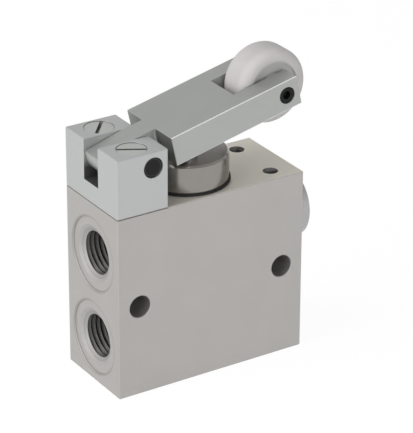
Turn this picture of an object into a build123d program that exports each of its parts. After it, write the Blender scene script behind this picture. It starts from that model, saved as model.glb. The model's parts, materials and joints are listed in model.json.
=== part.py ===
"""Roller lever valve: a three-way pneumatic valve worked by a hinged lever with a roller.

Frame: origin at the centre of the body's base, +Z up, +X from the pivot block towards the roller,
and the wide faces of the body are square to Y. All sizes are in millimetres.
"""

import os
from math import cos, pi, radians, sin, sqrt, tan

from build123d import *

# --- driving dimensions -------------------------------------------------------------------------

FIT_GAP = 0.05              # radial gap of a running or an easy fit
SEAL_GAP = 0.08             # gap between a seal's lip and the spool that slides in it
OVERCUT = 1.0               # how far a cutting shape overshoots the material

BODY_LENGTH = 55.0          # along X
BODY_THICKNESS = 25.0       # along Y
BODY_HEIGHT = 50.0
BODY_EDGE = 0.2

PORT_RADIUS = 6.58          # over a G1/4 thread
PORT_DEPTH = 12.0
PORT_CONE_RADIUS = 7.6      # countersink at each port's mouth
PORT_CONE_DEPTH = 0.6
PORT_CONE_ANGLE = 60.0
PORT_FACE_RADIUS = 9.75     # spot face round each port
PORT_FACE_DEPTH = 0.4
PORT_FACE_EDGE = 0.25
PORT_DRILL_RADIUS = 3.0     # passage from a port to the main bore
SUPPLY_Z = 12.3
OUTLET_Z = 35.8

FIXING_X = 21.2
FIXING_Z = 24.7
FIXING_RADIUS = 3.0
FIXING_CHAMFER = 0.15

TAPPED_X = 20.5             # four tapped holes in the top, two of them under the pivot block
TAPPED_Y = 7.8
TAPPED_RADIUS = 2.0         # over an M4 thread
TAPPED_DEPTH = 9.6

BORE_RADIUS = 8.0           # main bore, blind, down the middle of the body
BORE_FLOOR = 5.0
CAP_THREAD_RADIUS = 10.0    # over the M20 x 1 thread that holds the cap
CAP_THREAD_DEPTH = 6.0

CAP_RADIUS = 11.0
CAP_SEAT = 0.65             # the gasket's thickness
CAP_TOP = 58.0
CAP_CHAMFER = 0.5
GASKET_RADIUS = 11.4
CHAMBER_GAP = 0.6           # round the plunger's flange, inside the cap

PLUNGER_RADIUS = 3.0
PLUNGER_DOME = 8.0          # radius of the crowned end that the lever rests on
PLUNGER_FLANGE_RADIUS = 4.6
PLUNGER_FLANGE_BASE = 46.6
PLUNGER_FLANGE_HEIGHT = 1.6
BUSH_WALL = 1.2
VENT_GROOVES = 3            # exhaust grooves in the bush
VENT_RADIUS = 0.6

SPOOL_RADIUS = 4.0
SPOOL_NECK_RADIUS = 2.4
SPOOL_FOOT = 14.0           # underside of the lower land
SPOOL_LOWER_LAND_TOP = 22.3
SPOOL_UPPER_LAND_BASE = 44.3
SPOOL_CONE = 0.6            # height of the cones between the lands and the neck
SPOOL_STUB_RADIUS = 2.0     # guides the return spring
SPOOL_STUB_LENGTH = 3.5

RING_SECTION = 1.5          # thickness of every O-ring
GROOVE_HEIGHT = 1.6
CARRIER_HEIGHT = 5.0
CARRIER_GROOVE_Z = 1.5      # middle of the outer groove, over the carrier's base
LOWER_CARRIER_BASE = 17.0
UPPER_CARRIER_BASE = 39.0
CARRIER_GAP = 0.2           # between a carrier's bore and the spool
CAGE_BORE_RADIUS = 5.2
CAGE_WINDOW_RADIUS = 1.8
CAGE_WINDOWS = 4

SPRING_WIRE = 0.8
SPRING_RADIUS = 3.2         # middle of the wire
SPRING_TURNS = 5

BLOCK_LENGTH = 14.6
BLOCK_HEIGHT = 15.9
BLOCK_EDGE = 0.2
SLOT_WIDTH = 6.8
SLOT_FLOOR = 5.2            # height of the slot's floor over the block's base

SCREW_RADIUS = 1.97         # M4
SCREW_GAP = 0.1             # clearance round the shank
SCREW_HEAD_RADIUS = 3.9
SCREW_LENGTH = 25.0
SCREW_SLOT_WIDTH = 0.9
SCREW_SLOT_DEPTH = 1.0
SCREW_SINK = 0.15
SCREW_TURNS = (-30.0, -130.0)    # how each screw's slot happens to stand

PIVOT_X = -17.1
PIVOT_Z = 61.75
PIVOT_RADIUS = 2.75
PIVOT_RECESS = 0.35         # how far each pin end lies inside its hole
PIN_EDGE = 0.25

LEVER_ANGLE = 12.9          # incline of the lever at rest
LEVER_CLEARANCE = 0.1       # between the lever and the plunger at rest
LEVER_THICKNESS = 8.0
LEVER_WIDTH = 21.0
LEVER_SHOULDER = 7.4        # from the pivot to the shoulder, along the lever
LEVER_END = 45.3
LEVER_EDGE = 0.15
TONGUE_WIDTH = 6.4
TONGUE_TAIL = 9.75          # from the pivot to the tail's end
TONGUE_TAIL_RADIUS = 5.1
TONGUE_TAIL_DROP = 0.7      # how far the tongue's top slopes down behind the pivot
SHOULDER_FILLET = 0.8
FORK_START = 29.5
FORK_WIDTH = 10.5

ROLLER_REACH = 41.6         # from the pivot to the roller's axis
ROLLER_RADIUS = 10.0
ROLLER_WIDTH = 9.4
ROLLER_ROUNDING = 2.4
ROLLER_HUB_RADIUS = 3.7     # inner and outer edge of the shallow ring sunk in both sides
ROLLER_RECESS_RADIUS = 6.8
ROLLER_RECESS_DEPTH = 0.7
ROLLER_PIN_RADIUS = 2.25
ROLLER_PIN_RECESS = 0.25
ROLLER_PIN_HOLLOW = 1.1     # radius of the blind hole in each end
ROLLER_PIN_HOLLOW_DEPTH = 1.5

PLUG_COLLAR_RADIUS = 9.2
PLUG_COLLAR_HEIGHT = 3.7
PLUG_EDGE = 0.3
PLUG_THREAD_LENGTH = 8.0
PLUG_SOCKET = 6.0           # across flats
PLUG_SOCKET_DEPTH = 4.5
PLUG_RING_HEIGHT = 1.5
PLUG_RING_INNER = 6.7

# --- derived dimensions -------------------------------------------------------------------------

HALF_LENGTH = BODY_LENGTH / 2
HALF_THICKNESS = BODY_THICKNESS / 2
BLOCK_X = -HALF_LENGTH + BLOCK_LENGTH / 2
BLOCK_TOP = BODY_HEIGHT + BLOCK_HEIGHT
EAR_HEIGHT = BLOCK_HEIGHT - SLOT_FLOOR
HALF_LEVER = LEVER_THICKNESS / 2
SLOPE = radians(LEVER_ANGLE)
CAP_FOOT = UPPER_CARRIER_BASE + CARRIER_HEIGHT
SPOOL_RING_RADIUS = SPOOL_RADIUS + SEAL_GAP + RING_SECTION / 2
BODY_RING_RADIUS = BORE_RADIUS - FIT_GAP - RING_SECTION / 2
CARRIER_RADIUS = BORE_RADIUS - FIT_GAP
CARRIER_BORE = SPOOL_RADIUS + CARRIER_GAP
FLANGE_TOP = PLUNGER_FLANGE_BASE + PLUNGER_FLANGE_HEIGHT
BUSH_RADIUS = PLUNGER_RADIUS + FIT_GAP + BUSH_WALL
BUSH_BASE = FLANGE_TOP + FIT_GAP
CHAMBER_RADIUS = PLUNGER_FLANGE_RADIUS + CHAMBER_GAP

# Looking along +Y at the lever: x runs along it from the pivot, y square to it, upwards.
lever_side = Plane(origin=(PIVOT_X, 0, PIVOT_Z), x_dir=(cos(SLOPE), 0, sin(SLOPE)), z_dir=(0, -1, 0))

# The crown's centre stands where the crown just clears the lever's underside at rest.
DOME_CENTRE = PIVOT_Z - PIVOT_X * tan(SLOPE) - (HALF_LEVER + PLUNGER_DOME) / cos(SLOPE) - LEVER_CLEARANCE
DOME_EDGE = DOME_CENTRE + sqrt(PLUNGER_DOME**2 - PLUNGER_RADIUS**2)


def half_outline(points):
    """Closed outline of (radius, height) points, to be revolved about the valve's axis."""
    with BuildSketch(Plane.XZ) as outline:
        with BuildLine():
            Polyline(*points, close=True)
        make_face()
    return outline.sketch


def tube_outline(inner, outer, base, top):
    """Half outline of a plain ring."""
    return half_outline([(inner, base), (outer, base), (outer, top), (inner, top)])


def o_ring_outline(radius, height):
    """Half outline of an O-ring, its round section simplified to an octagon."""
    with BuildSketch(Plane.XZ) as outline:
        with Locations((radius, height)):
            RegularPolygon(RING_SECTION / 2, 8, major_radius=False, rotation=22.5)
    return outline.sketch


def carrier_outline(base):
    """Half outline of a seal carrier: a groove outside and, at its top, a recess inside."""
    top = base + CARRIER_HEIGHT
    recess = top - GROOVE_HEIGHT
    recess_radius = SPOOL_RING_RADIUS + RING_SECTION / 2 + FIT_GAP
    groove_low = base + CARRIER_GROOVE_Z - GROOVE_HEIGHT / 2
    groove_high = base + CARRIER_GROOVE_Z + GROOVE_HEIGHT / 2
    groove_radius = BODY_RING_RADIUS - RING_SECTION / 2 - FIT_GAP
    return half_outline([
        (CARRIER_BORE, base), (CARRIER_RADIUS, base), (CARRIER_RADIUS, groove_low),
        (groove_radius, groove_low), (groove_radius, groove_high), (CARRIER_RADIUS, groove_high),
        (CARRIER_RADIUS, top), (recess_radius, top), (recess_radius, recess),
        (CARRIER_BORE, recess),
    ])


def spool_ring_height(carrier_base):
    """Height of the ring in a carrier's inner recess."""
    return carrier_base + CARRIER_HEIGHT - GROOVE_HEIGHT / 2


def save(part, name):
    """Label a finished piece and write it to its own file."""
    part.label = name
    export_step(part, f"parts/{name}.step")


os.makedirs("parts", exist_ok=True)

# --- body ---------------------------------------------------------------------------------------

with BuildPart() as valve_body:
    with BuildSketch(Plane.XY):
        Rectangle(BODY_LENGTH, BODY_THICKNESS)
    extrude(amount=BODY_HEIGHT)
    chamfer(valve_body.edges(), BODY_EDGE)

    # main bore and the wider thread for the cap
    with BuildSketch(Plane.XY.offset(BORE_FLOOR)):
        Circle(BORE_RADIUS)
    extrude(amount=BODY_HEIGHT, mode=Mode.SUBTRACT)
    with BuildSketch(Plane.XY.offset(BODY_HEIGHT)):
        Circle(CAP_THREAD_RADIUS)
    extrude(amount=-CAP_THREAD_DEPTH, mode=Mode.SUBTRACT)

    # ports: supply and outlet on the -X face, and the outlet again on the +X face
    for side, height in ((-1, SUPPLY_Z), (-1, OUTLET_Z), (1, OUTLET_Z)):
        mouth = Plane(origin=(side * HALF_LENGTH, 0, height), x_dir=(0, 1, 0), z_dir=(side, 0, 0))
        with BuildSketch(mouth):
            Circle(PORT_FACE_RADIUS)
        extrude(amount=-PORT_FACE_DEPTH, mode=Mode.SUBTRACT)
        with BuildSketch(mouth):
            Circle(PORT_RADIUS)
        extrude(amount=-PORT_DEPTH, mode=Mode.SUBTRACT)
        with BuildSketch(mouth):
            Circle(PORT_DRILL_RADIUS)
        extrude(amount=-HALF_LENGTH + BORE_RADIUS / 2, mode=Mode.SUBTRACT)
        with BuildSketch(mouth.offset(-PORT_FACE_DEPTH)):
            Circle(PORT_CONE_RADIUS)
        extrude(amount=-PORT_CONE_DEPTH, taper=PORT_CONE_ANGLE, mode=Mode.SUBTRACT)
    port_rims = valve_body.edges().filter_by(GeomType.CIRCLE).filter_by(
        lambda edge: abs(edge.radius - PORT_FACE_RADIUS) < 0.01
        and abs(abs(edge.arc_center.X) - HALF_LENGTH) < 0.01
    )
    chamfer(port_rims, PORT_FACE_EDGE)

    # fixing holes from one wide face to the other
    with BuildSketch(Plane.XZ.offset(-HALF_THICKNESS)):
        with Locations((-FIXING_X, FIXING_Z), (FIXING_X, FIXING_Z)):
            Circle(FIXING_RADIUS)
    extrude(amount=BODY_THICKNESS, mode=Mode.SUBTRACT)
    fixing_rims = valve_body.edges().filter_by(GeomType.CIRCLE).filter_by(
        lambda edge: abs(edge.radius - FIXING_RADIUS) < 0.01
    )
    chamfer(fixing_rims, FIXING_CHAMFER)

    # tapped holes in the top, for a pivot block at either end
    with BuildSketch(Plane.XY.offset(BODY_HEIGHT)):
        with GridLocations(2 * TAPPED_X, 2 * TAPPED_Y, 2, 2):
            Circle(TAPPED_RADIUS)
    extrude(amount=-TAPPED_DEPTH, mode=Mode.SUBTRACT)
save(valve_body.part, "valve_body")

# --- cages and seals in the main bore -----------------------------------------------------------

CAGES = {
    "lower_cage": (BORE_FLOOR, LOWER_CARRIER_BASE, SUPPLY_Z),
    "middle_cage": (LOWER_CARRIER_BASE + CARRIER_HEIGHT, UPPER_CARRIER_BASE, OUTLET_Z),
}
for name, (base, top, window_z) in CAGES.items():
    with BuildPart() as cage:
        revolve(tube_outline(CAGE_BORE_RADIUS, CARRIER_RADIUS, base, top), axis=Axis.Z)
        for turn in range(CAGE_WINDOWS):
            angle = 2 * pi * (turn + 0.5) / CAGE_WINDOWS
            with BuildSketch(Plane(origin=(0, 0, window_z), z_dir=(cos(angle), sin(angle), 0))):
                Circle(CAGE_WINDOW_RADIUS)
            extrude(amount=BORE_RADIUS, mode=Mode.SUBTRACT)
    save(cage.part, name)

CARRIERS = {"lower": LOWER_CARRIER_BASE, "upper": UPPER_CARRIER_BASE}
for level, base in CARRIERS.items():
    with BuildPart() as seal_carrier:
        revolve(carrier_outline(base), axis=Axis.Z)
    save(seal_carrier.part, f"{level}_seal_carrier")

    with BuildPart() as spool_ring:
        revolve(o_ring_outline(SPOOL_RING_RADIUS, spool_ring_height(base)), axis=Axis.Z)
    save(spool_ring.part, f"{level}_spool_seal")

    with BuildPart() as body_ring:
        revolve(o_ring_outline(BODY_RING_RADIUS, base + CARRIER_GROOVE_Z), axis=Axis.Z)
    save(body_ring.part, f"{level}_body_seal")

# --- cap, its gasket and its guide bush ---------------------------------------------------------

with BuildPart() as cap:
    revolve(half_outline([
        (CHAMBER_RADIUS, CAP_FOOT), (CAP_THREAD_RADIUS - FIT_GAP, CAP_FOOT),
        (CAP_THREAD_RADIUS - FIT_GAP, BODY_HEIGHT + CAP_SEAT), (CAP_RADIUS, BODY_HEIGHT + CAP_SEAT),
        (CAP_RADIUS, CAP_TOP), (BUSH_RADIUS, CAP_TOP), (BUSH_RADIUS, BUSH_BASE),
        (CHAMBER_RADIUS, BUSH_BASE),
    ]), axis=Axis.Z)
    top_rim = cap.edges().filter_by(GeomType.CIRCLE).group_by(Axis.Z)[-1].sort_by(SortBy.RADIUS)[-1]
    chamfer(top_rim, CAP_CHAMFER)
save(cap.part, "cap")

with BuildPart() as cap_gasket:
    revolve(tube_outline(CAP_THREAD_RADIUS, GASKET_RADIUS, BODY_HEIGHT, BODY_HEIGHT + CAP_SEAT), axis=Axis.Z)
save(cap_gasket.part, "cap_gasket")

with BuildPart() as guide_bush:
    revolve(tube_outline(PLUNGER_RADIUS + FIT_GAP, BUSH_RADIUS, BUSH_BASE, CAP_TOP), axis=Axis.Z)
    with BuildSketch(Plane.XY.offset(BUSH_BASE)):
        with PolarLocations(PLUNGER_RADIUS + FIT_GAP, VENT_GROOVES):
            Circle(VENT_RADIUS)
    extrude(amount=CAP_TOP - BUSH_BASE, mode=Mode.SUBTRACT)
save(guide_bush.part, "guide_bush")

# --- plunger, spool and return spring -----------------------------------------------------------

with BuildPart() as plunger:
    with BuildSketch(Plane.XZ) as plunger_half:
        with BuildLine():
            Polyline(
                (0, DOME_CENTRE + PLUNGER_DOME), (0, PLUNGER_FLANGE_BASE),
                (PLUNGER_FLANGE_RADIUS, PLUNGER_FLANGE_BASE), (PLUNGER_FLANGE_RADIUS, FLANGE_TOP),
                (PLUNGER_RADIUS, FLANGE_TOP), (PLUNGER_RADIUS, DOME_EDGE),
            )
            RadiusArc((PLUNGER_RADIUS, DOME_EDGE), (0, DOME_CENTRE + PLUNGER_DOME), -PLUNGER_DOME)
        make_face()
    revolve(axis=Axis.Z)
save(plunger.part, "plunger")

with BuildPart() as spool:
    revolve(half_outline([
        (0, SPOOL_FOOT - SPOOL_STUB_LENGTH), (SPOOL_STUB_RADIUS, SPOOL_FOOT - SPOOL_STUB_LENGTH),
        (SPOOL_STUB_RADIUS, SPOOL_FOOT), (SPOOL_RADIUS, SPOOL_FOOT),
        (SPOOL_RADIUS, SPOOL_LOWER_LAND_TOP), (SPOOL_NECK_RADIUS, SPOOL_LOWER_LAND_TOP + SPOOL_CONE),
        (SPOOL_NECK_RADIUS, SPOOL_UPPER_LAND_BASE - SPOOL_CONE), (SPOOL_RADIUS, SPOOL_UPPER_LAND_BASE),
        (SPOOL_RADIUS, PLUNGER_FLANGE_BASE), (0, PLUNGER_FLANGE_BASE),
    ]), axis=Axis.Z)
save(spool.part, "spool")

SPRING_HEIGHT = SPOOL_FOOT - BORE_FLOOR - SPRING_WIRE - 2 * FIT_GAP
SPRING_PLANE = Plane.XY.offset(BORE_FLOOR + SPRING_WIRE / 2 + FIT_GAP)
with BuildPart() as return_spring:
    coil = Helix(SPRING_HEIGHT / SPRING_TURNS, SPRING_HEIGHT, SPRING_RADIUS, center=SPRING_PLANE.origin)
    with BuildSketch(Plane(origin=coil @ 0, z_dir=coil % 0)):
        RegularPolygon(SPRING_WIRE / 2, 8)
    sweep(path=coil, is_frenet=True)
save(return_spring.part, "return_spring")

# --- pivot block, its screws and the pivot pin --------------------------------------------------

with BuildPart() as pivot_block:
    with BuildSketch(Plane.XY.offset(BODY_HEIGHT)):
        with Locations((BLOCK_X, 0)):
            Rectangle(BLOCK_LENGTH, BODY_THICKNESS)
    extrude(amount=BLOCK_HEIGHT)
    chamfer(pivot_block.edges(), BLOCK_EDGE)
    with BuildSketch(Plane.XY.offset(BODY_HEIGHT + SLOT_FLOOR)):
        with Locations((BLOCK_X, 0)):
            Rectangle(BLOCK_LENGTH + 2 * OVERCUT, SLOT_WIDTH)
    extrude(amount=EAR_HEIGHT + OVERCUT, mode=Mode.SUBTRACT)
    with Locations(*[(-TAPPED_X, y, BLOCK_TOP) for y in (-TAPPED_Y, TAPPED_Y)]):
        CounterSinkHole(SCREW_RADIUS + SCREW_GAP, SCREW_HEAD_RADIUS + FIT_GAP, BLOCK_HEIGHT, 90)
    with BuildSketch(Plane.XZ.offset(-HALF_THICKNESS)):
        with Locations((PIVOT_X, PIVOT_Z)):
            Circle(PIVOT_RADIUS)
    extrude(amount=BODY_THICKNESS, mode=Mode.SUBTRACT)
save(pivot_block.part, "pivot_block")

HEAD_HEIGHT = SCREW_HEAD_RADIUS - SCREW_RADIUS
with BuildPart() as pivot_block_screws:
    for y, slot_turn in zip((-TAPPED_Y, TAPPED_Y), SCREW_TURNS):
        head_top = BLOCK_TOP - SCREW_SINK
        with BuildSketch(Plane.XY.offset(head_top)):
            with Locations((-TAPPED_X, y)):
                Circle(SCREW_HEAD_RADIUS - SCREW_SINK)
        extrude(amount=-HEAD_HEIGHT + SCREW_SINK, taper=45)
        with BuildSketch(Plane.XY.offset(head_top)):
            with Locations((-TAPPED_X, y)):
                Circle(SCREW_RADIUS)
        extrude(amount=-SCREW_LENGTH)
        with BuildSketch(Plane.XY.offset(head_top)):
            with Locations(Location((-TAPPED_X, y, 0), (0, 0, slot_turn))):
                Rectangle(3 * SCREW_HEAD_RADIUS, SCREW_SLOT_WIDTH)
        extrude(amount=-SCREW_SLOT_DEPTH, mode=Mode.SUBTRACT)
save(pivot_block_screws.part, "pivot_block_screws")

PIVOT_LENGTH = BODY_THICKNESS - 2 * PIVOT_RECESS
with BuildPart() as pivot_pin:
    with BuildSketch(Plane.XZ.offset(-PIVOT_LENGTH / 2)):
        with Locations((PIVOT_X, PIVOT_Z)):
            Circle(PIVOT_RADIUS)
    extrude(amount=PIVOT_LENGTH)
    chamfer(pivot_pin.edges().filter_by(GeomType.CIRCLE), PIN_EDGE)
    # the two screws pass through notches in the pin and so lock it
    with BuildSketch(Plane.XY.offset(BODY_HEIGHT)):
        with Locations((-TAPPED_X, -TAPPED_Y), (-TAPPED_X, TAPPED_Y)):
            Circle(SCREW_RADIUS + SCREW_GAP)
    extrude(amount=BLOCK_HEIGHT, mode=Mode.SUBTRACT)
save(pivot_pin.part, "pivot_pin")

# --- lever, roller and roller pin ---------------------------------------------------------------


def is_inner_corner(edge):
    """True for the edges where the sides of the tongue meet the shoulders."""
    place = lever_side.to_local_coords(edge @ 0.5)
    return abs(place.X - LEVER_SHOULDER) < 0.01 and abs(abs(place.Z) - TONGUE_WIDTH / 2) < 0.01


with BuildPart() as lever:
    with BuildSketch(lever_side):
        with Locations(((LEVER_SHOULDER + LEVER_END) / 2, 0)):
            Rectangle(LEVER_END - LEVER_SHOULDER, LEVER_THICKNESS)
    extrude(amount=LEVER_WIDTH / 2, both=True)
    chamfer(lever.edges(), LEVER_EDGE)

    # tongue, rounded under its tail so that it clears the floor of the slot
    with BuildSketch(lever_side):
        with BuildLine():
            tail = Polyline(
                (LEVER_SHOULDER + OVERCUT, -HALF_LEVER), (LEVER_SHOULDER + OVERCUT, HALF_LEVER),
                (0, HALF_LEVER), (-TONGUE_TAIL, HALF_LEVER - TONGUE_TAIL_DROP),
                (-TONGUE_TAIL, -HALF_LEVER + TONGUE_TAIL_RADIUS),
            )
            RadiusArc(
                tail @ 1, (-TONGUE_TAIL + TONGUE_TAIL_RADIUS, -HALF_LEVER), -TONGUE_TAIL_RADIUS
            )
            Line((-TONGUE_TAIL + TONGUE_TAIL_RADIUS, -HALF_LEVER), tail @ 0)
        make_face()
    extrude(amount=TONGUE_WIDTH / 2, both=True)
    inner_corners = lever.edges().filter_by(lambda edge: is_inner_corner(edge))
    fillet(inner_corners, SHOULDER_FILLET)

    # fork for the roller
    with BuildSketch(lever_side):
        with Locations(((FORK_START + LEVER_END + OVERCUT) / 2, 0)):
            Rectangle(LEVER_END + OVERCUT - FORK_START, LEVER_THICKNESS + 2 * OVERCUT)
    extrude(amount=FORK_WIDTH / 2, both=True, mode=Mode.SUBTRACT)

    # bores of the two pins
    with BuildSketch(lever_side):
        Circle(PIVOT_RADIUS + FIT_GAP)
        with Locations((ROLLER_REACH, 0)):
            Circle(ROLLER_PIN_RADIUS)
    extrude(amount=LEVER_WIDTH / 2 + OVERCUT, both=True, mode=Mode.SUBTRACT)
save(lever.part, "lever")

roller_axis = lever_side.offset(0)
roller_axis.origin = lever_side.from_local_coords((ROLLER_REACH, 0, 0))
with BuildPart() as roller:
    with BuildSketch(roller_axis):
        Circle(ROLLER_RADIUS)
    extrude(amount=ROLLER_WIDTH / 2, both=True)
    fillet(roller.edges().filter_by(GeomType.CIRCLE), ROLLER_ROUNDING)
    for side in (-1, 1):
        with BuildSketch(roller_axis.offset(side * ROLLER_WIDTH / 2)):
            Circle(ROLLER_RECESS_RADIUS)
            Circle(ROLLER_HUB_RADIUS, mode=Mode.SUBTRACT)
        extrude(amount=-side * ROLLER_RECESS_DEPTH, mode=Mode.SUBTRACT)
    with BuildSketch(roller_axis):
        Circle(ROLLER_PIN_RADIUS + FIT_GAP)
    extrude(amount=ROLLER_WIDTH, both=True, mode=Mode.SUBTRACT)
save(roller.part, "roller")

ROLLER_PIN_HALF = LEVER_WIDTH / 2 - ROLLER_PIN_RECESS
with BuildPart() as roller_pin:
    with BuildSketch(roller_axis):
        Circle(ROLLER_PIN_RADIUS)
    extrude(amount=ROLLER_PIN_HALF, both=True)
    chamfer(roller_pin.edges().filter_by(GeomType.CIRCLE), PIN_EDGE)
    for end in (-1, 1):
        with BuildSketch(roller_axis.offset(end * ROLLER_PIN_HALF)):
            Circle(ROLLER_PIN_HOLLOW)
        extrude(amount=-end * ROLLER_PIN_HOLLOW_DEPTH, mode=Mode.SUBTRACT)
save(roller_pin.part, "roller_pin")

# --- plug of the spare outlet -------------------------------------------------------------------

PLUG_SEAT = HALF_LENGTH - PORT_FACE_DEPTH
plug_face = Plane(origin=(PLUG_SEAT, 0, OUTLET_Z), x_dir=(0, 1, 0), z_dir=(1, 0, 0))
with BuildPart() as plug_sealing_ring:
    with BuildSketch(plug_face):
        Circle(PLUG_COLLAR_RADIUS)
        Circle(PLUG_RING_INNER, mode=Mode.SUBTRACT)
    extrude(amount=PLUG_RING_HEIGHT)
save(plug_sealing_ring.part, "plug_sealing_ring")

with BuildPart() as screw_plug:
    with BuildSketch(plug_face.offset(PLUG_RING_HEIGHT)):
        Circle(PLUG_COLLAR_RADIUS)
    extrude(amount=PLUG_COLLAR_HEIGHT)
    chamfer(screw_plug.edges().sort_by(Axis.X)[-1], PLUG_EDGE)
    with BuildSketch(plug_face.offset(PLUG_RING_HEIGHT)):
        Circle(PORT_RADIUS - FIT_GAP)
    extrude(amount=-PLUG_THREAD_LENGTH)
    with BuildSketch(plug_face.offset(PLUG_RING_HEIGHT + PLUG_COLLAR_HEIGHT)):
        RegularPolygon(PLUG_SOCKET / 2, 6, major_radius=False)
    extrude(amount=-PLUG_SOCKET_DEPTH, mode=Mode.SUBTRACT)
save(screw_plug.part, "screw_plug")
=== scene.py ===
"""Finishes, threads and stage for a roller lever valve.

Every length in this file is in metres unless a property says otherwise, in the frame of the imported
model: origin at the centre of the body's base, +Z up, +X towards the roller.
"""

import json
import math

import bmesh
import bpy
from mathutils import Matrix, Vector


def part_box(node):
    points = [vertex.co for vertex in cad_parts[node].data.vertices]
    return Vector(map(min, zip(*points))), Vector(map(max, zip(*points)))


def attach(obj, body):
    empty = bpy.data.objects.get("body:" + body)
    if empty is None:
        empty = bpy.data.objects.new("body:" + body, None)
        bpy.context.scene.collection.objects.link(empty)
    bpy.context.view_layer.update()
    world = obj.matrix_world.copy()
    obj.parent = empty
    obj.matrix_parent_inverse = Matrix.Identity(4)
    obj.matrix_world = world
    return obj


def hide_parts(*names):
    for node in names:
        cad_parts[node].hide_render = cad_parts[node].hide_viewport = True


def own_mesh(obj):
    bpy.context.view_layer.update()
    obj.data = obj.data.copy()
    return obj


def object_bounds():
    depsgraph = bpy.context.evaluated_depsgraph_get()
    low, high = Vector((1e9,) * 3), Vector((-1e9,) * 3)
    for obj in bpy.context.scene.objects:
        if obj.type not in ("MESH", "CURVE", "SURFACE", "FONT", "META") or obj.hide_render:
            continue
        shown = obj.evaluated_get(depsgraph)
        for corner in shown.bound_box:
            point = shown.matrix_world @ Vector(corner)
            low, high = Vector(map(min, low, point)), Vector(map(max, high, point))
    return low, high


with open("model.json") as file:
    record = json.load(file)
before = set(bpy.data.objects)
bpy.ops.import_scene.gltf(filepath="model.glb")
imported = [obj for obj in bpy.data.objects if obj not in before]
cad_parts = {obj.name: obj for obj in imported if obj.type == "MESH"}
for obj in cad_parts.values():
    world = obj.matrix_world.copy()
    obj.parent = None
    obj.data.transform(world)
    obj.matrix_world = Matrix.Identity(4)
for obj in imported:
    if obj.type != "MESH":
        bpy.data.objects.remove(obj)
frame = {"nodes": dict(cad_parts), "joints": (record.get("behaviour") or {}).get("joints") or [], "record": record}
CAD_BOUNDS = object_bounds()

bl_info = {
    "name": "Roller Lever Valve",
    "version": (1, 0, 0),
    "blender": (4, 5, 0),
    "location": "View3D > Sidebar > Valve",
    "description": "Gives a pneumatic roller lever valve its metal, rubber and nylon finishes",
    "category": "Object",
}

MM = 0.001
MOUNTS = {mount["name"]: mount for mount in frame["record"]["mounts"]}
JOINTS = {joint["name"]: joint for joint in frame["joints"]}

# The tapped hole in the quarter where X and Y are positive. The others are its mirror images.
TAPPED = MOUNTS["top_tapped_holes"]
TAPPED_CENTRE = (TAPPED["pos_m"][0], TAPPED["dims"]["spacing_y_mm"] / 2 * MM)
TAPPED_RADIUS = TAPPED["dims"]["hole_r_mm"] * MM

# Sizes in the CAD model that its record doesn't hold. The masks of the finishes follow them.
SPOT_FACE_DEPTH = 0.4 * MM
COUNTERSINK_RADIUS = 7.6 * MM
COUNTERSINK_FOOT = 1.0 * MM         # from the body's end face
SLOT_WIDTH = 6.8 * MM
SLOT_FLOOR = 5.2 * MM               # over the block's underside
SCREW_HEAD_RADIUS = 3.9 * MM
LEVER_WIDTH = 21.0 * MM
LEVER_THICKNESS = 8.0 * MM
LEVER_SHOULDER = 7.4 * MM           # from the pivot, along the lever
TONGUE_WIDTH = 6.4 * MM
ROLLER_RECESS_RADIUS = 6.8 * MM
ROLLER_RECESS_FLOOR = 4.0 * MM      # from the roller's middle plane

# Marks that only the finishes have.
THREAD_SINK = 0.02 * MM             # how far a thread's root lies in the wall of its hole
SKIN = 0.03 * MM                    # how far a mask reaches past the wall that it colours
CRISP = 0.05 * MM                   # width of the slope at a mask's edge
SEAM = 0.18 * MM                    # shaded height on each side of the joint under the block
RIM_SHADE_RING = (9.6 * MM, 10.3 * MM)    # inner and outer radius of the ring of painted shade round a spot face
SLOT_SHADE = 9.5 * MM               # height over the block's underside below which the slot gets painted shade
EDGE_HIGHLIGHT_WIDTH = 0.2 * MM                # width of the painted highlight strips along the lever's edges
PIN_END_RING = (2.1 * MM, 2.4 * MM)    # inner and outer radius of the lighter ring on the pivot pin's ends

FLOOR_REACH = 3.0
FLOOR_GLOW = 1.08                   # just over white, so that the floor has no grey tinge
FLOOR_GLOW_SHARE = 0.86             # the rest is the floor's own shade, which keeps the shadow
ZENITH_DIMMING = 0.75               # how much darker than the horizon the zenith is in mirrors


# --- shader helpers -----------------------------------------------------------------------------


class Value:
    """A number in a node tree. Arithmetic on it adds Math nodes."""

    def __init__(self, nodes, socket):
        self.nodes = nodes
        self.socket = socket

    def _math(self, operation, *terms):
        inputs = {place: term for place, term in enumerate(terms)}
        node = self.nodes.add("ShaderNodeMath", {"operation": operation}, inputs)
        return Value(self.nodes, node.outputs[0])

    def __add__(self, other):
        return self._math("ADD", self, other)

    def __radd__(self, other):
        return self._math("ADD", other, self)

    def __sub__(self, other):
        return self._math("SUBTRACT", self, other)

    def __rsub__(self, other):
        return self._math("SUBTRACT", other, self)

    def __mul__(self, other):
        return self._math("MULTIPLY", self, other)

    def __rmul__(self, other):
        return self._math("MULTIPLY", other, self)

    def __truediv__(self, other):
        return self._math("DIVIDE", self, other)

    def __rtruediv__(self, other):
        return self._math("DIVIDE", other, self)

    def sine(self):
        return self._math("SINE", self)

    def root(self):
        return self._math("SQRT", self)

    def highest(self, other):
        return self._math("MAXIMUM", self, other)

    def lowest(self, other):
        return self._math("MINIMUM", self, other)

    def size(self):
        return self._math("ABSOLUTE", self)

    def over(self, edge, soft):
        """0 below an edge and 1 above it, through a slope as wide as soft."""
        return ((self - edge) / soft + 0.5).highest(0.0).lowest(1.0)


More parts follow.
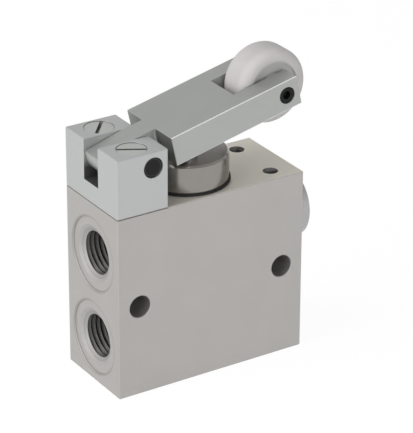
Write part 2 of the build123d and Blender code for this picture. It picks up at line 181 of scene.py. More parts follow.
class Nodes:
    """A node tree that is filled from empty."""

    def __init__(self, owner):
        owner.use_nodes = True
        self.tree = owner.node_tree
        self.tree.nodes.clear()

    def add(self, kind, settings=None, inputs=None):
        """Add a node, set it up, and then fill or link its sockets."""
        node = self.tree.nodes.new(kind)
        for key, setting in (settings or {}).items():
            if key == "stops":
                self._set_stops(node.color_ramp, setting)
            else:
                setattr(node, key, setting)
        for key, value in (inputs or {}).items():
            self.feed(node.inputs[key], value)
        return node

    def feed(self, socket, value):
        """Link a socket to another socket, or set it to a constant."""
        if isinstance(value, Value):
            value = value.socket
        if isinstance(value, bpy.types.NodeSocket):
            self.tree.links.new(value, socket)
        else:
            socket.default_value = value

    @staticmethod
    def _set_stops(ramp, stops):
        while len(ramp.elements) < len(stops):
            ramp.elements.new(0.5)
        for element, (place, level) in zip(ramp.elements, stops):
            element.position = place
            element.color = (level, level, level, 1.0)

    def parts(self, vector):
        """The three numbers of a vector."""
        split = self.add("ShaderNodeSeparateXYZ", inputs={0: vector})
        return [Value(self, socket) for socket in split.outputs]

    def rays(self, *kinds):
        """1 for rays of the named kinds and 0 for all others."""
        path = self.add("ShaderNodeLightPath")
        named = Value(self, path.outputs[f"Is {kinds[0]} Ray"])
        for kind in kinds[1:]:
            named = named.highest(Value(self, path.outputs[f"Is {kind} Ray"]))
        return named


class Finish(Nodes):
    """One material with a Principled shader, and what is needed to vary it over a surface."""

    def __init__(self, name, **constants):
        self.material = bpy.data.materials.new(name)
        super().__init__(self.material)
        self.shader = self.add("ShaderNodeBsdfPrincipled", inputs=constants)
        self.output = self.add(
            "ShaderNodeOutputMaterial", inputs={"Surface": self.shader.outputs[0]}
        )

    def place(self, turn=(0.0, 0.0, 0.0), stretch=(1.0, 1.0, 1.0), origin=(0.0, 0.0, 0.0)):
        """Coordinates in the model's frame, moved to an origin, turned and then stretched."""
        source = self.add("ShaderNodeTexCoord").outputs["Object"]
        moved = self.add("ShaderNodeVectorMath", {"operation": "SUBTRACT"}, {0: source, 1: origin})
        turned = self.add(
            "ShaderNodeVectorRotate", {"rotation_type": "EULER_XYZ"},
            {"Vector": moved.outputs[0], "Rotation": turn},
        )
        grown = self.add(
            "ShaderNodeVectorMath", {"operation": "MULTIPLY"}, {0: turned.outputs[0], 1: stretch}
        )
        return grown.outputs[0]

    def noise(self, vector, scale, detail=2.0, roughness=0.5):
        """Noise between 0 and 1, with features about 1 / scale metres apart."""
        inputs = {"Vector": vector, "Scale": scale, "Detail": detail, "Roughness": roughness}
        return Value(self, self.add("ShaderNodeTexNoise", inputs=inputs).outputs[0])

    def ramp(self, value, *stops):
        """A number taken through stops of (place, height)."""
        node = self.add("ShaderNodeValToRGB", {"stops": stops}, {0: value})
        return Value(self, node.outputs[0])

    def blend(self, factor, first, second):
        """A colour between two others."""
        settings = {"data_type": "RGBA", "clamp_factor": True}
        node = self.add("ShaderNodeMix", settings, {0: factor, 6: first, 7: second})
        return node.outputs[2]

    def disc(self, across, up, centre, radius, soft=CRISP):
        """1 inside a circle and 0 outside it, over a soft edge."""
        side = across - centre[0]
        rise = up - centre[1]
        return (radius - (side * side + rise * rise).root()).over(0.0, soft)

    def ring(self, across, up, centre, radii, soft):
        """1 between two circles and 0 elsewhere, over soft edges."""
        inner, outer = radii
        whole = self.disc(across, up, centre, outer, soft)
        return whole - self.disc(across, up, centre, inner, soft)

    def tint(self, mask, colour, strength=1.0):
        """Blend the base colour so far towards another one where a mask is 1."""
        socket = self.shader.inputs["Base Color"]
        under = socket.links[0].from_socket
        self.feed(socket, self.blend(mask * strength, under, shade(colour, 1.0)))

    def bump(self, height, depth, strength=1.0):
        """Feed a height between 0 and 1 to the shader's normal, as relief of that depth."""
        inputs = {"Height": height, "Distance": depth, "Strength": strength}
        node = self.add("ShaderNodeBump", inputs=inputs)
        self.feed(self.shader.inputs["Normal"], node.outputs[0])

    def dress(self, *names):
        """Put this material on CAD nodes."""
        for name in names:
            slots = frame["nodes"][name].data.materials
            slots.clear()
            slots.append(self.material)


def shade(colour, factor):
    """A colour made lighter or darker, as the four numbers a socket takes."""
    return (*[min(1.0, part * factor) for part in colour[:3]], 1.0)


# --- finishes -----------------------------------------------------------------------------------


def blasted_finish(name, colour, roughness, metallic):
    """Aluminium that was bead-blasted and clear anodised: matt, with a very fine even grain."""
    finish = Finish(name, **{"Metallic": metallic, "Specular IOR Level": 0.4})
    here = finish.place()
    cloud = finish.noise(here, scale=90.0, detail=3.0)
    grain = finish.noise(here, scale=5200.0, roughness=0.6)
    tone = finish.ramp(cloud * 0.5 + grain * 0.5, (0.3, 0.0), (0.7, 1.0))
    finish.feed(
        finish.shader.inputs["Base Color"],
        finish.blend(tone, shade(colour, 0.955), shade(colour, 1.04)),
    )
    finish.feed(finish.shader.inputs["Roughness"], roughness - 0.05 + cloud * 0.08 + grain * 0.04)
    finish.bump(grain, depth=0.03 * MM, strength=0.35)
    return finish


def milled_finish(
    name, colour, roughness, metallic, turn, line_width, origin=(0.0, 0.0, 0.0), contrast=1.0
):
    """Milled aluminium with fine lines along X of the turned frame."""
    finish = Finish(name, **{"Metallic": metallic, "Specular IOR Level": 0.5})
    along = finish.place(turn, stretch=(0.06, 1.0, 1.0), origin=origin)
    lines = finish.noise(along, scale=1.0 / line_width, detail=4.0, roughness=0.65)
    cloud = finish.noise(finish.place(), scale=60.0, detail=3.0)
    tone = finish.ramp(lines * 0.6 + cloud * 0.4, (0.3, 0.0), (0.7, 1.0))
    darker = shade(colour, 1.0 - 0.07 * contrast)
    lighter = shade(colour, 1.0 + 0.05 * contrast)
    finish.feed(finish.shader.inputs["Base Color"], finish.blend(tone, darker, lighter))
    finish.feed(finish.shader.inputs["Roughness"], roughness - 0.06 + lines * 0.12)
    finish.bump(lines, depth=0.02 * MM, strength=0.4 * contrast)
    return finish


def turned_finish(name, colour, roughness, metallic, centre, groove_width):
    """Metal turned on a lathe about an upright axis, with rings on top and round its side."""
    finish = Finish(name, **{"Metallic": metallic, "Specular IOR Level": 0.5})
    x, y, z = finish.parts(finish.place(origin=centre))
    radius = (x * x + y * y).root()
    rings = ((radius + z) * (2 * math.pi / groove_width)).sine() * 0.5 + 0.5
    wear = finish.noise(finish.place(), scale=420.0, detail=3.0, roughness=0.6)
    tone = rings * 0.3 + wear * 0.7
    finish.feed(
        finish.shader.inputs["Base Color"],
        finish.blend(tone, shade(colour, 0.86), shade(colour, 1.1)),
    )
    finish.feed(finish.shader.inputs["Roughness"], roughness + wear * 0.12)
    finish.bump(rings, depth=0.01 * MM, strength=0.25)
    return finish


def plated_finish(name, colour, roughness):
    """Bright plated or freshly cut metal with faint pits."""
    finish = Finish(name, **{"Metallic": 1.0, "Specular IOR Level": 0.5})
    pits = finish.noise(finish.place(), scale=1500.0, detail=3.0, roughness=0.6)
    finish.feed(
        finish.shader.inputs["Base Color"],
        finish.blend(pits, shade(colour, 0.9), shade(colour, 1.06)),
    )
    finish.feed(finish.shader.inputs["Roughness"], roughness + pits * 0.1)
    finish.bump(pits, depth=0.01 * MM, strength=0.3)
    return finish


def black_finish(name, colour, roughness):
    """Black oxide on steel or black rubber: dark, with a soft sheen that varies."""
    finish = Finish(name, **{"Metallic": 0.0, "Specular IOR Level": 0.25})
    patches = finish.noise(finish.place(), scale=700.0, detail=3.0, roughness=0.6)
    finish.feed(
        finish.shader.inputs["Base Color"],
        finish.blend(patches, shade(colour, 0.7), shade(colour, 1.6)),
    )
    finish.feed(finish.shader.inputs["Roughness"], roughness + patches * 0.15)
    finish.bump(patches, depth=0.01 * MM, strength=0.4)
    return finish


def nylon_finish(name, colour, roughness):
    """Natural nylon: a milky body colour, a little light inside and a fine speckle."""
    finish = Finish(name, **{
        "Metallic": 0.0, "Specular IOR Level": 0.45, "Subsurface Weight": 0.6,
        "Subsurface Radius": (1.0, 0.95, 0.9), "Subsurface Scale": 2.0 * MM,
    })
    here = finish.place()
    milk = finish.noise(here, scale=160.0, detail=3.0)
    speckle = finish.noise(here, scale=3200.0, roughness=0.6)
    finish.feed(
        finish.shader.inputs["Base Color"],
        finish.blend(milk, shade(colour, 0.95), shade(colour, 1.03)),
    )
    finish.feed(finish.shader.inputs["Roughness"], roughness + speckle * 0.12)
    finish.bump(speckle, depth=0.01 * MM, strength=0.3)
    return finish


# --- properties ---------------------------------------------------------------------------------


def colour_property(name, description, default):
    """A colour that a user can change."""
    return bpy.props.FloatVectorProperty(
        name=name, description=description, default=default, subtype="COLOR", size=3,
        min=0.0, max=1.0,
    )


def factor_property(name, description, default):
    """A share between nothing and all."""
    return bpy.props.FloatProperty(
        name=name, description=description, default=default, min=0.0, max=1.0, subtype="FACTOR"
    )


def length_property(name, description, default):
    """A length in metres."""
    return bpy.props.FloatProperty(
        name=name, description=description, default=default, unit="LENGTH", subtype="DISTANCE",
        precision=5,
    )


class ValveColours(bpy.types.PropertyGroup):
    """Colours and sheen of the valve's metals, rubber and nylon."""

    body: colour_property("Body", "Blasted and anodised body", (0.47, 0.455, 0.44))
    body_roughness: factor_property("Body roughness", "How matt the body is", 0.55)
    # Painted light: the body's top face is tinted towards this lighter, warmer colour than its sides.
    top_face_light: colour_property("Faced top", "Machined top of the body", (0.84, 0.81, 0.72))
    # Painted shade: the colour that the walls of the fixing and tapped holes are tinted towards.
    hole: colour_property("Holes", "Walls of the plain and tapped holes", (0.27, 0.262, 0.25))
    # Painted shade: the near-black that seams, the block's slot, the screw slots and seats, the lever's shoulders
    # and the rings round the spot faces are tinted towards.
    depth: colour_property("Depth", "Slots, seams and hidden corners", (0.05, 0.048, 0.045))
    bare_cut: colour_property("Bare cut", "The ports' countersinks", (0.42, 0.41, 0.40))
    # Painted shade: the dark colour of the threads' roots and flanks, and of the ports' walls, deep in their
    # holes.
    thread: colour_property("Thread", "Roots and flanks of the threads", (0.12, 0.118, 0.112))
    # The thread crests are tinted towards this bare-metal colour, so the painted shade of a thread stays in its
    # roots and flanks.
    crest: colour_property("Thread crests", "Crests of the cut threads", (0.42, 0.41, 0.40))
    block: colour_property("Pivot block", "Milled pivot block", (0.50, 0.51, 0.51))
    lever: colour_property("Lever", "Milled lever", (0.43, 0.44, 0.428))
    # Painted highlight: the near-white tinted along the lever's long edges.
    edge_highlight: colour_property("Bare edges", "Broken edges of the lever", (0.95, 0.95, 0.95))
    lever_roughness: factor_property("Lever roughness", "How matt the lever is", 0.38)
    cap: colour_property("Cap", "Turned cap", (0.29, 0.275, 0.257))
    steel: colour_property("Steel", "Ground steel of plunger, spool and spring", (0.58, 0.58, 0.57))
    screws: colour_property("Screws", "Zinc-plated screws", (0.52, 0.53, 0.51))
    plug: colour_property("Plug", "Nickel-plated screw plug", (0.42, 0.42, 0.42))
    brass: colour_property("Brass", "Cages and seal carriers", (0.62, 0.47, 0.2))
    black: colour_property("Pins", "Black-oxide pins", (0.004, 0.004, 0.0045))
    rubber: colour_property("Rubber", "Gasket and O-rings", (0.012, 0.012, 0.012))
    nylon: colour_property("Roller", "Natural nylon of the roller", (0.64, 0.62, 0.615))
    # Painted shade: the grey the roller's side recesses are tinted towards.
    nylon_shade: colour_property("Roller recess", "The roller's thin web", (0.47, 0.47, 0.455))


class ThreadSizes(bpy.types.PropertyGroup):
    """Sizes of the threads cut in the open holes, and of the return spring's coil."""

    port_pitch: length_property("Port pitch", "One turn of a port's thread", 1.337 * MM)
    port_core: length_property("Port core", "Radius inside a port's thread", 5.72 * MM)
    port_lead_in: length_property("Port lead-in", "Depth of the first turn's cone", 0.5 * MM)
    screw_pitch: length_property("Screw pitch", "One turn of a tapped hole's thread", 0.7 * MM)
    screw_core: length_property("Screw core", "Radius inside a tapped hole's thread", 1.62 * MM)
    screw_start: length_property("Screw start", "From the face to the first turn", 0.25 * MM)
    spring_wire: length_property("Spring wire", "Thickness of the return spring's wire", 0.8 * MM)
    spring_turns: bpy.props.IntProperty(
        name="Spring turns", description="Turns of the return spring", default=5, min=1
    )


class StageSettings(bpy.types.PropertyGroup):
    """Camera and light of the studio."""

    azimuth: bpy.props.FloatProperty(
        name="Azimuth", description="The camera's direction round the valve, from the wide face",
        default=math.radians(-32.67), subtype="ANGLE",
    )
    elevation: bpy.props.FloatProperty(
        name="Elevation", description="The camera's height over the horizon",
        default=math.radians(25.69), subtype="ANGLE",
    )
    roll: bpy.props.FloatProperty(
        name="Roll", description="The camera's turn about its line of sight",
        default=math.radians(0.22), subtype="ANGLE",
    )
    distance: length_property("Distance", "From the camera to the point it looks at", 0.669)
    lens: bpy.props.FloatProperty(
        name="Lens", description="Focal length", default=217.7, unit="CAMERA"
    )
    target: bpy.props.FloatVectorProperty(
        name="Target", description="The point that the camera looks at",
        default=(0.00614, -0.00025, 0.03769), subtype="XYZ", unit="LENGTH",
    )
    sky: bpy.props.FloatProperty(
        name="Sky", description="Strength of the even light from all round", default=0.4, min=0.0
    )


# --- threads and coils --------------------------------------------------------------------------


def swept_mesh(name, outlines, loop, closed_outline, smooth, caps=False):
    """A mesh through outlines of equally many points, each joined to the next.

    With loop, the last outline is joined to the first. With closed_outline, each outline's last
    point is joined to its first. With caps, the first and the last outline are filled.
    """
    shape = bmesh.new()
    rows = [[shape.verts.new(point) for point in outline] for outline in outlines]
    count = len(rows[0])
    pairs = list(zip(rows, rows[1:]))
    if loop:
        pairs.append((rows[-1], rows[0]))
    for row, following in pairs:
        for place in range(count if closed_outline else count - 1):
            after = (place + 1) % count
            shape.faces.new((row[place], row[after], following[after], following[place]))
    if caps:
        shape.faces.new(rows[0])
        shape.faces.new(rows[-1])
    bmesh.ops.recalc_face_normals(shape, faces=shape.faces)
    mesh = bpy.data.meshes.new(name)
    shape.to_mesh(mesh)
    shape.free()
    if smooth:
        mesh.polygons.foreach_set("use_smooth", [True] * len(mesh.polygons))
    return mesh


def around(radius, angle, height):
    """The point at that radius and angle about Z."""
    return radius * math.cos(angle), radius * math.sin(angle), height


def thread_mesh(name, major, core, pitch, length):
    """An inner thread as one helical strip about Z, running from Z = 0 towards -Z."""
    # Places along the axis in pitches, and radii from the root at 0 to the crest at 1.
    profile = (
        (-0.5, 0.0), (-0.44, 0.0), (-0.1, 1.0), (-0.05, 1.012), (0.05, 1.012), (0.1, 1.0),
        (0.44, 0.0), (0.5, 0.0),
    )
    steps_per_turn = 64
    run_in = 0.15 * steps_per_turn
    run_out = 0.4 * steps_per_turn
    root = major + THREAD_SINK
    total = int((length / pitch - 1) * steps_per_turn)
    outlines = []
    for step in range(total + 1):
        angle = 2 * math.pi * step / steps_per_turn
        depth = pitch * (step / steps_per_turn + 0.5)
        rise = min(1.0, step / run_in, (total - step) / run_out)
        outlines.append([
            around(root - (root - core) * height * rise, angle, -depth - along * pitch)
            for along, height in profile
        ])
    return swept_mesh(name, outlines, loop=False, closed_outline=False, smooth=True)


def lead_in_mesh(name, major, core, depth):
    """The first crest of a thread, cut back to a cone about Z that runs from Z = 0 to -depth."""
    steps = 96
    root = major + THREAD_SINK
    back = 0.2 * MM
    profile = ((root, 0.0), (core, -depth), (root, -depth - back))
    outlines = [
        [around(radius, 2 * math.pi * step / steps, height) for radius, height in profile]
        for step in range(steps)
    ]
    return swept_mesh(name, outlines, loop=True, closed_outline=True, smooth=False)


def place_in_hole(mesh, finish, mouth, outward):
    """Set a thread's mesh in a hole, outward along its Z axis, and let it ride on the housing."""
    piece = bpy.data.objects.new(mesh.name, mesh)
    bpy.context.scene.collection.objects.link(piece)
    turn = outward.to_track_quat("Z", "Y").to_matrix().to_4x4()
    piece.matrix_world = Matrix.Translation(mouth) @ turn
    mesh.materials.append(finish.material)
    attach(piece, "housing")


def spring_mesh(name, radius, wire, low, high, turns):
    """A coil spring about Z of round wire, with its wire's two ends closed."""
    steps_per_turn = 48
    sides = 12
    total = turns * steps_per_turn
    outlines = []
    for step in range(total + 1):
        angle = 2 * math.pi * step / steps_per_turn
        height = low + wire / 2 + (high - low - wire) * step / total
        outline = []
        for side in range(sides):
            turn = 2 * math.pi * side / sides
            reach = radius + wire / 2 * math.cos(turn)
            outline.append(around(reach, angle, height + wire / 2 * math.sin(turn)))
        outlines.append(outline)
    return swept_mesh(name, outlines, loop=False, closed_outline=True, smooth=True, caps=True)


def top_centre(name):
    """The middle of a CAD node's top."""
    low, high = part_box(name)
    return (low.x + high.x) / 2, (low.y + high.y) / 2, high.z


# --- operators ----------------------------------------------------------------------------------


class FinishBody(bpy.types.Operator):
    """Give the body its blasted, anodised finish, with painted shade in its holes, ports and seam and painted
    light on its top
    """

    bl_idname = "valve.finish_body"
    bl_label = "Body"

    def execute(self, context):
        colours = context.scene.valve_colours
        finish = blasted_finish("blasted_body", colours.body, colours.body_roughness, metallic=0.5)
        x, y, z = finish.parts(finish.place())
        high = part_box("valve_body")[1]
        self.paint_hole_shade(finish, x, y, z, high, colours.hole)
        self.line_ports(finish, x, y, z, high, colours)
        # Painted shade along the joint under the pivot block.
        under_block = (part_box("pivot_block")[1].x - x).over(0.0, 0.1 * MM)
        finish.tint(z.over(high.z - SEAM, CRISP) * under_block, colours.depth, 0.8)
        # Painted light on the body's top face: it is tinted much lighter than the sides.
        finish.tint(z.over(high.z - CRISP, CRISP), colours.top_face_light, 0.8)
        finish.dress("valve_body")
        return {"FINISHED"}

    def paint_hole_shade(self, finish, x, y, z, high, dark):
        """Painted shade on the walls of the fixing holes and of the tapped holes."""
        fixing = MOUNTS["fixing_holes"]
        centre = (fixing["dims"]["spacing_x_mm"] / 2 * MM, fixing["pos_m"][2])
        radius = fixing["dims"]["hole_r_mm"] * MM
        inside = (high.y - y.size()).over(0.3 * MM, 0.2 * MM)
        finish.tint(finish.disc(x.size(), z, centre, radius + SKIN) * inside, dark, 0.9)
        wall = finish.disc(x.size(), y.size(), TAPPED_CENTRE, TAPPED_RADIUS + SKIN)
        finish.tint(wall * (high.z - z).over(0.1 * MM, 0.1 * MM), dark, 0.9)

    def line_ports(self, finish, x, y, z, high, colours):
        """Painted shade on the wall, a bright countersink and a ring of painted shade at the rim, for each port
        and the plug's hole.
        """
        for name, across in (("supply_port", x * -1.0), ("outlet_port", x.size())):
            mount = MOUNTS[name]
            centre = mount["pos_m"][1:]
            depth = high.x - across
            # A faint ring of painted shade at the foot of each spot face's wall.
            ring = finish.ring(y, z, centre, RIM_SHADE_RING, 0.4 * MM)
            finish.tint(ring * (0.6 * MM - depth).over(0.0, 0.1 * MM), colours.depth, 0.2)
            cone = finish.disc(y, z, centre, COUNTERSINK_RADIUS + SKIN)
            cone *= (COUNTERSINK_FOOT - depth).over(0.02 * MM, CRISP)
            cone *= (depth - SPOT_FACE_DEPTH).over(0.01 * MM, 0.02 * MM)
            finish.tint(cone, colours.bare_cut, 0.3)
            # Painted shade: the wall inside each port is tinted almost to the thread's dark colour.
            wall = finish.disc(y, z, centre, mount["dims"]["r_mm"] * MM + SKIN)
            wall *= depth.over(COUNTERSINK_FOOT - CRISP, CRISP)
            wall *= across.over(0.0, 1.0 * MM)
            finish.tint(wall, colours.thread, 0.85)


class CutThreads(bpy.types.Operator):
    """Cut the threads of the two ports and of the two open tapped holes"""

    bl_idname = "valve.cut_threads"
    bl_label = "Threads"

    def execute(self, context):
        sizes = context.scene.valve_threads
        colours = context.scene.valve_colours
        self.cut_ports(sizes, colours)
        self.cut_tapped_holes(sizes, colours)
        return {"FINISHED"}

    def cut_ports(self, sizes, colours):
        """A lead-in and a thread in each port. The threads are painted dark as shade in the holes, and their
        crests are tinted back towards bare metal, so they are brighter than the roots.
        """
        cut = plated_finish("cut_port_threads", colours.thread, roughness=0.45)
        bare = plated_finish("cut_lead_in", colours.bare_cut, roughness=0.55)
        y, z = cut.parts(cut.place())[1:]
        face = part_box("valve_body")[0].x
        for name in ("supply_port", "outlet_port"):
            mount = MOUNTS[name]
            centre = mount["pos_m"][1:]
            # The crests are tinted lighter than the painted shade of the roots.
            crest = cut.disc(y, z, centre, sizes.port_core + 0.12 * MM, 0.2 * MM)
            cut.tint(crest, colours.crest, 0.8)
            outward = Vector(mount["axis"])
            major = mount["dims"]["r_mm"] * MM
            mouth = Vector((face + COUNTERSINK_FOOT, *centre))
            lead_in = lead_in_mesh(name + "_lead_in", major, sizes.port_core, sizes.port_lead_in)
            place_in_hole(lead_in, bare, mouth, outward)
            mouth -= outward * (sizes.port_lead_in / 2)
            length = mount["dims"]["length_mm"] * MM - sizes.port_lead_in
            thread = thread_mesh(
                name + "_thread", major, sizes.port_core, sizes.port_pitch, length
            )
            place_in_hole(thread, cut, mouth, outward)

    def cut_tapped_holes(self, sizes, colours):
        """A thread in each of the two tapped holes that hold no screw."""
        cut = plated_finish("cut_tapped_threads", colours.thread, roughness=0.45)
        x, y = cut.parts(cut.place())[:2]
        # The crests are tinted lighter than the painted shade of the roots.
        crest = cut.disc(x, y.size(), TAPPED_CENTRE, sizes.screw_core + 0.05 * MM, 0.1 * MM)
        cut.tint(crest, colours.crest, 0.6)
        length = 4 * TAPPED_RADIUS      # deeper than can be seen from outside
        for label, side in (("front", -1), ("back", 1)):
            mouth = Vector(TAPPED["pos_m"])
            mouth.y += side * TAPPED_CENTRE[1]
            mouth.z -= sizes.screw_start
            thread = thread_mesh(
                f"tapped_hole_thread_{label}", TAPPED_RADIUS, sizes.screw_core,
                sizes.screw_pitch, length,
            )
            place_in_hole(thread, cut, mouth, Vector(TAPPED["axis"]))


class FinishBlock(bpy.types.Operator):
    """Give the pivot block its fine milled finish, with painted shade along its foot, in its slot and round its
    screw heads
    """

    bl_idname = "valve.finish_block"
    bl_label = "Pivot block"

    def execute(self, context):
        colours = context.scene.valve_colours
        upright = (0.0, math.radians(90), 0.0)
        finish = milled_finish(
            "milled_block", colours.block, roughness=0.42, metallic=0.5, turn=upright,
            line_width=0.35 * MM, contrast=0.4,
        )
        x, y, z = finish.parts(finish.place())
        low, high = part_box("pivot_block")
        # Painted shade along the joint between the block and the body.
        finish.tint((low.z + SEAM - z).over(0.0, CRISP), colours.depth, 0.8)
        # Painted shade on the slot's walls, from its floor up towards SLOT_SHADE.
        slot = (SLOT_WIDTH / 2 + SKIN - y.size()).over(0.0, SKIN)
        slot *= (low.z + SLOT_SHADE - z).over(0.0, 3.0 * MM)
        slot *= (z - low.z).over(SLOT_FLOOR - CRISP, CRISP)
        finish.tint(slot, colours.depth, 0.85)
        # Painted shade in the gap round each screw head.
        gap = 0.07 * MM
        seat = finish.disc(x.size(), y.size(), TAPPED_CENTRE, SCREW_HEAD_RADIUS + gap)
        finish.tint(seat * (high.z - z).over(0.03 * MM, 0.02 * MM), colours.depth, 0.8)
        finish.dress("pivot_block")
        return {"FINISHED"}


class FinishLever(bpy.types.Operator):
    """Give the lever fine milling lines along its length, a painted highlight along its edges and painted shade on
    its shoulders
    """

    bl_idname = "valve.finish_lever"
    bl_label = "Lever"

    def execute(self, context):
        colours = context.scene.valve_colours
        pivot = Vector(JOINTS["lever_swing"]["pos_m"])
        reach = Vector(JOINTS["roller_spin"]["pos_m"]) - pivot
        incline = math.atan2(reach.z, reach.x)
        turn = (0.0, incline, 0.0)
        finish = milled_finish(
            "milled_lever", colours.lever, colours.lever_roughness, metallic=0.6, turn=turn,
            line_width=0.3 * MM, origin=pivot,
        )
        x, y, z = finish.parts(finish.place(turn, origin=pivot))
        # Painted highlight along the lever's long edges.
        edge = y.size().over(LEVER_WIDTH / 2 - EDGE_HIGHLIGHT_WIDTH, SKIN)
        edge *= z.size().over(LEVER_THICKNESS / 2 - EDGE_HIGHLIGHT_WIDTH, SKIN)
        finish.tint(edge, colours.edge_highlight, 0.9)
        # Painted shade on the lever's shoulder faces beside the tongue.
        shoulder = (LEVER_SHOULDER + CRISP - x).over(0.0, CRISP)
        shoulder *= y.size().over(TONGUE_WIDTH / 2 + 0.1 * MM, 0.1 * MM)
        finish.tint(shoulder, colours.depth, 0.5)
        finish.dress("lever")
        return {"FINISHED"}


class FinishRoller(bpy.types.Operator):
    """Give the roller its natural nylon"""

    bl_idname = "valve.finish_roller"
    bl_label = "Roller"

    def execute(self, context):
        colours = context.scene.valve_colours
        finish = nylon_finish("natural_nylon", colours.nylon, roughness=0.58)
        x, y, z = finish.parts(finish.place())
        axis = JOINTS["roller_spin"]["pos_m"]
        # Painted shade in the recess on each side of the roller.
        recess_shade = finish.disc(x, z, (axis[0], axis[2]), ROLLER_RECESS_RADIUS + 0.1 * MM, 0.8 * MM)
        recess_shade *= y.size().over(ROLLER_RECESS_FLOOR - 0.4 * MM, 0.3 * MM)
        finish.tint(recess_shade, colours.nylon_shade, 0.8)
        finish.dress("roller")
        return {"FINISHED"}


class FinishPins(bpy.types.Operator):
    """Blacken the pivot pin and the roller pin, with a lighter ring on the pivot pin's ends"""

    bl_idname = "valve.finish_pins"
    bl_label = "Pins"

    def execute(self, context):
        colours = context.scene.valve_colours
        finish = black_finish("black_oxide", colours.black, roughness=0.5)
        x, _, z = finish.parts(finish.place())
        pivot = JOINTS["lever_swing"]["pos_m"]
        lighter_ring = finish.ring(x, z, (pivot[0], pivot[2]), PIN_END_RING, 0.15 * MM)
        finish.tint(lighter_ring, colours.thread, 0.25)
        finish.dress("pivot_pin", "roller_pin")
        return {"FINISHED"}


class FinishScrews(bpy.types.Operator):
    """Plate the slotted screws and the screw plug with its ring"""

    bl_idname = "valve.finish_screws"
    bl_label = "Screws and plug"

    def execute(self, context):
        colours = context.scene.valve_colours
        aslant = (0.0, 0.0, math.radians(20))
        finish = milled_finish(
            "zinc_plate", colours.screws, roughness=0.36, metallic=0.5, turn=aslant,
            line_width=0.3 * MM,
        )
        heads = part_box("pivot_block_screws")[1].z
        z = finish.parts(finish.place())[2]
        # Painted shade in the screws' slots and down the sides of their heads.
        finish.tint((heads - z).over(0.12 * MM, 0.1 * MM), colours.depth, 0.75)
        finish.dress("pivot_block_screws")
        plated_finish("nickel_plate", colours.plug, roughness=0.2).dress("screw_plug")
        ring = plated_finish("soft_aluminium", colours.block, roughness=0.4)
        ring.dress("plug_sealing_ring")
        return {"FINISHED"}


class FinishCap(bpy.types.Operator):
    """Give the cap its turned finish, and the gasket and seals black rubber"""

    bl_idname = "valve.finish_cap"
    bl_label = "Cap"

    def execute(self, context):
        colours = context.scene.valve_colours
        turned = turned_finish(
            "turned_cap", colours.cap, roughness=0.16, metallic=0.9, centre=top_centre("cap"),
            groove_width=0.16 * MM,
        )
        turned.dress("cap")
        rubber = black_finish("black_rubber", colours.rubber, roughness=0.55)
        rubber.dress(
            "cap_gasket", "lower_spool_seal", "upper_spool_seal", "lower_body_seal",
            "upper_body_seal",
        )
        return {"FINISHED"}


class FinishInside(bpy.types.Operator):
    """Finish the plunger, spool, spring, bush and cages"""

    bl_idname = "valve.finish_inside"
    bl_label = "Plunger and inner pieces"

    def execute(self, context):
        colours = context.scene.valve_colours
        centre = top_centre("plunger")
        ground = turned_finish(
            "ground_steel", colours.steel, roughness=0.18, metallic=1.0, centre=centre,
            groove_width=0.08 * MM,
        )
        ground.dress("plunger", "spool")
        wire = plated_finish("spring_wire", colours.steel, roughness=0.3)
        self.wind_spring(context.scene.valve_threads, wire)
        brass = turned_finish(
            "turned_brass", colours.brass, roughness=0.28, metallic=1.0, centre=centre,
            groove_width=0.2 * MM,
        )
        brass.dress(
            "guide_bush", "lower_cage", "middle_cage", "lower_seal_carrier", "upper_seal_carrier"
        )
        return {"FINISHED"}

    def wind_spring(self, sizes, finish):
        """A round-wire return spring in place of the CAD one, carried along with the plunger."""
        name = "wound_return_spring"
        low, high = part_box("return_spring")
        wire = sizes.spring_wire
        radius = (high.x - low.x - wire) / 2
        coil = spring_mesh(name, radius, wire, low.z, high.z, sizes.spring_turns)
        spring = bpy.data.objects.new(name, coil)
        bpy.context.scene.collection.objects.link(spring)
        coil.materials.append(finish.material)
        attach(spring, "plunger")
        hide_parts("return_spring")
        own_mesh(spring)


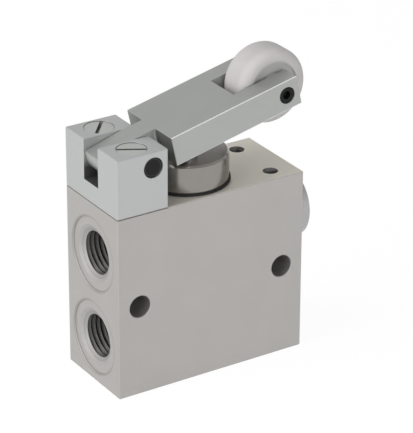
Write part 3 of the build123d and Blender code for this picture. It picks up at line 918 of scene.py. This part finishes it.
class BuildStage(bpy.types.Operator):
    """Make the white floor, the soft lights and the camera"""

    bl_idname = "valve.build_stage"
    bl_label = "Stage"

    def execute(self, context):
        stage = context.scene.valve_stage
        self.make_floor()
        self.make_sky(context.scene, stage.sky)
        self.make_lamps()
        self.make_camera(context.scene, stage)
        context.scene.view_settings.view_transform = "Standard"
        return {"FINISHED"}

    def make_floor(self):
        """A wide floor that looks white and keeps a soft shadow."""
        mesh = bpy.data.meshes.new("floor")
        signs = ((-1, -1), (1, -1), (1, 1), (-1, 1))
        corners = [(x * FLOOR_REACH, y * FLOOR_REACH, 0) for x, y in signs]
        mesh.from_pydata(corners, [], [(0, 1, 2, 3)])
        floor = bpy.data.objects.new("floor", mesh)
        floor.location.z = CAD_BOUNDS[0].z
        bpy.context.scene.collection.objects.link(floor)
        white = Finish("white_floor", **{"Base Color": (0.8, 0.8, 0.8, 1.0), "Roughness": 0.9})
        glow = white.add(
            "ShaderNodeEmission", inputs={"Color": (1.0, 1.0, 1.0, 1.0), "Strength": FLOOR_GLOW}
        )
        share = white.rays("Camera", "Glossy", "Transmission") * FLOOR_GLOW_SHARE
        mixed = white.add(
            "ShaderNodeMixShader", inputs={0: share, 1: white.shader.outputs[0], 2: glow.outputs[0]}
        )
        white.feed(white.output.inputs["Surface"], mixed.outputs[0])
        mesh.materials.append(white.material)

    def make_sky(self, scene, strength):
        """Even light from all round, white to the camera; in mirrors it dims towards the zenith."""
        scene.world = bpy.data.worlds.new("studio")
        sky = Nodes(scene.world)
        height = sky.parts(sky.add("ShaderNodeTexCoord").outputs["Generated"])[2]
        mirrored = sky.rays("Glossy") * (1.0 - height.highest(0.0) * ZENITH_DIMMING)
        share = sky.rays("Camera").highest(mirrored)
        soft = sky.add("ShaderNodeBackground", inputs={"Strength": strength})
        white = sky.add("ShaderNodeBackground", inputs={"Color": (1.0, 1.0, 1.0, 1.0)})
        mixed = sky.add(
            "ShaderNodeMixShader", inputs={0: share, 1: soft.outputs[0], 2: white.outputs[0]}
        )
        sky.add("ShaderNodeOutputWorld", inputs={0: mixed.outputs[0]})

    def make_lamps(self):
        """Three soft boxes: a low and a high one on the left, and a low one in front."""
        aim = (CAD_BOUNDS[0] + CAD_BOUNDS[1]) / 2
        # Name, azimuth and elevation in degrees, distance, size, and power in watts.
        lamps = (
            ("left_box", -75, 20, 0.9, 0.5, 2.5),
            ("high_box", -110, 50, 0.9, 0.5, 2.5),
            ("front_box", -5, 15, 1.0, 0.5, 3.0),
        )
        for name, azimuth, elevation, distance, size, power in lamps:
            data = bpy.data.lights.new(name, "AREA")
            data.size = size
            data.energy = power
            lamp = bpy.data.objects.new(name, data)
            bpy.context.scene.collection.objects.link(lamp)
            back = direction_from(math.radians(azimuth), math.radians(elevation))
            lamp.location = aim + back * distance
            lamp.rotation_mode = "QUATERNION"
            lamp.rotation_quaternion = (-back).to_track_quat("-Z", "Y")

    def make_camera(self, scene, stage):
        """The camera, on its direction from the target."""
        camera = bpy.data.objects.new("camera", bpy.data.cameras.new("camera"))
        scene.collection.objects.link(camera)
        back = direction_from(stage.azimuth, stage.elevation)
        camera.location = Vector(stage.target) + back * stage.distance
        camera.rotation_mode = "QUATERNION"
        upright = (-back).to_track_quat("-Z", "Y")
        camera.rotation_quaternion = upright @ Matrix.Rotation(stage.roll, 3, "Z").to_quaternion()
        camera.data.lens = stage.lens
        scene.camera = camera


def direction_from(azimuth, elevation):
    """Unit vector from the valve towards a point at that azimuth and elevation."""
    return Vector((
        math.sin(azimuth) * math.cos(elevation),
        -math.cos(azimuth) * math.cos(elevation),
        math.sin(elevation),
    ))


# --- panel and registration ---------------------------------------------------------------------

FINISHING_STEPS = (
    FinishBody, CutThreads, FinishBlock, FinishLever, FinishRoller, FinishPins, FinishScrews,
    FinishCap, FinishInside, BuildStage,
)


class ValvePanel(bpy.types.Panel):
    """Lists the valve's colours, sizes and steps in the sidebar"""

    bl_idname = "VIEW3D_PT_valve"
    bl_label = "Roller Lever Valve"
    bl_space_type = "VIEW_3D"
    bl_region_type = "UI"
    bl_category = "Valve"

    def draw(self, context):
        for group in [getattr(context.scene, name) for name in PROPERTY_GROUPS]:
            box = self.layout.box()
            for key in group.bl_rna.properties.keys():
                if key not in ("rna_type", "name"):
                    box.prop(group, key)
        for step in FINISHING_STEPS:
            self.layout.operator(step.bl_idname)


PROPERTY_GROUPS = {
    "valve_colours": ValveColours,
    "valve_threads": ThreadSizes,
    "valve_stage": StageSettings,
}


def register():
    for name, group in PROPERTY_GROUPS.items():
        bpy.utils.register_class(group)
        setattr(bpy.types.Scene, name, bpy.props.PointerProperty(type=group))
    for step in FINISHING_STEPS:
        bpy.utils.register_class(step)
    bpy.utils.register_class(ValvePanel)


def unregister():
    bpy.utils.unregister_class(ValvePanel)
    for step in reversed(FINISHING_STEPS):
        bpy.utils.unregister_class(step)
    for name, group in reversed(PROPERTY_GROUPS.items()):
        delattr(bpy.types.Scene, name)
        bpy.utils.unregister_class(group)


def main():
    register()
    for step in FINISHING_STEPS:
        group, operator = step.bl_idname.split(".")
        getattr(getattr(bpy.ops, group), operator)()


if __name__ == "__main__":
    main()
